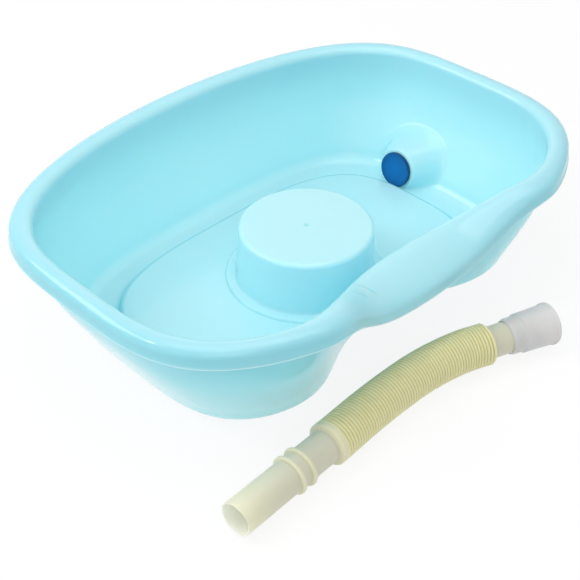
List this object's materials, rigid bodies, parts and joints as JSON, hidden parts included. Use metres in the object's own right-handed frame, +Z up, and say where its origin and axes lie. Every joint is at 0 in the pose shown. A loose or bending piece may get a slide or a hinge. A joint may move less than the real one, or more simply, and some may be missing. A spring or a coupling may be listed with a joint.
{
  "type": "portable shampoo basin",
  "caption": "Oval rinse bowl with a rolled rim, a dipped neck rest and a round head pedestal, a drain stopper, and a loose ribbed drain hose with its end sleeve.",
  "frame": {"origin": "centre of the bowl's box on the surface that it stands on", "axes": "+X along the bowl towards its drain, +Y from the neck rest to the back, +Z up"},
  "size_m": [0.5643, 0.4685, 0.1352],
  "materials": {
    "basin_plastic": "smooth moulded pale aqua plastic, soft gloss",
    "stopper_plastic": "satin mid-blue plastic",
    "hose_plastic": "satin translucent cream plastic, yellower where it is ribbed",
    "sleeve_plastic": "satin translucent grey-white plastic"
  },
  "bodies": {
    "basin": {"basin_shell": "basin_plastic"},
    "stopper": {"drain_stopper": "stopper_plastic"},
    "hose": {"drain_hose": "hose_plastic"},
    "sleeve": {"hose_sleeve": "sleeve_plastic"}
  },
  "joints": [
    {"name": "stopper_tip", "type": "hinge", "parent": "basin", "child": "stopper", "pos_m": [0.19163, 0.03048, 0.00375], "axis": [0, -1, 0], "range_deg": [0, 35]},
    {"name": "hose_slide", "type": "slide", "parent": "basin", "child": "hose", "axis": [0, -1, 0], "range_m": [0, 0.15]},
    {"name": "sleeve_pull", "type": "slide", "parent": "hose", "child": "sleeve", "axis": [0.9388, -0.3445, 0], "range_m": [0, 0.03]}
  ]
}
